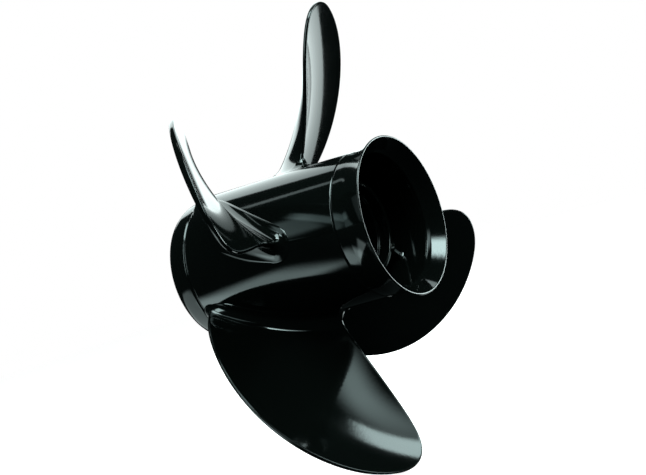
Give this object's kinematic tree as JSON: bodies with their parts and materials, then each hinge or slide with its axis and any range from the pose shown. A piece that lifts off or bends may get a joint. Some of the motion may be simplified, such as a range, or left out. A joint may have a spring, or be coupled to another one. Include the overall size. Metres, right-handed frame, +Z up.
{
  "type": "boat propeller",
  "caption": "Right-hand outboard propeller with swept blades on a through-hub exhaust barrel, flared ring and slipping rubber drive hub.",
  "frame": {"origin": "on the shaft axis, in the front face of the thrust washer, where it meets the shaft's shoulder", "axes": "+Y forward along the shaft, +Z up as installed, +X starboard; the propeller's open end faces -Y"},
  "size_m": [0.3332, 0.1738, 0.3332],
  "materials": {
    "black_enamel": "gloss black enamel",
    "black_enamel_ring": "gloss black enamel",
    "hub_rubber": "matte",
    "brass": "machined",
    "bronze": "machined",
    "spacer_steel": "black oxide",
    "washer_steel": "black oxide",
    "nut_steel": "black oxide",
    "nylon": "moulded"
  },
  "bodies": {
    "drive_hub": {"rubber_bushing": "hub_rubber", "splined_sleeve": "brass", "thrust_washer": "bronze", "rear_spacer": "spacer_steel", "tab_washer": "washer_steel", "propeller_nut": "nut_steel", "locking_insert": "nylon"},
    "propeller": {"barrel": "black_enamel", "blade_1": "black_enamel", "blade_2": "black_enamel", "blade_3": "black_enamel", "blade_4": "black_enamel", "inner_hub": "black_enamel", "rib_1": "black_enamel", "rib_2": "black_enamel", "rib_3": "black_enamel", "diffuser_ring": "black_enamel_ring"}
  },
  "joints": [
    {"name": "hub_slip", "type": "hinge", "parent": "drive_hub", "child": "propeller", "pos_m": [0, 0, 0], "axis": [0, 1, 0], "continuous": true}
  ]
}
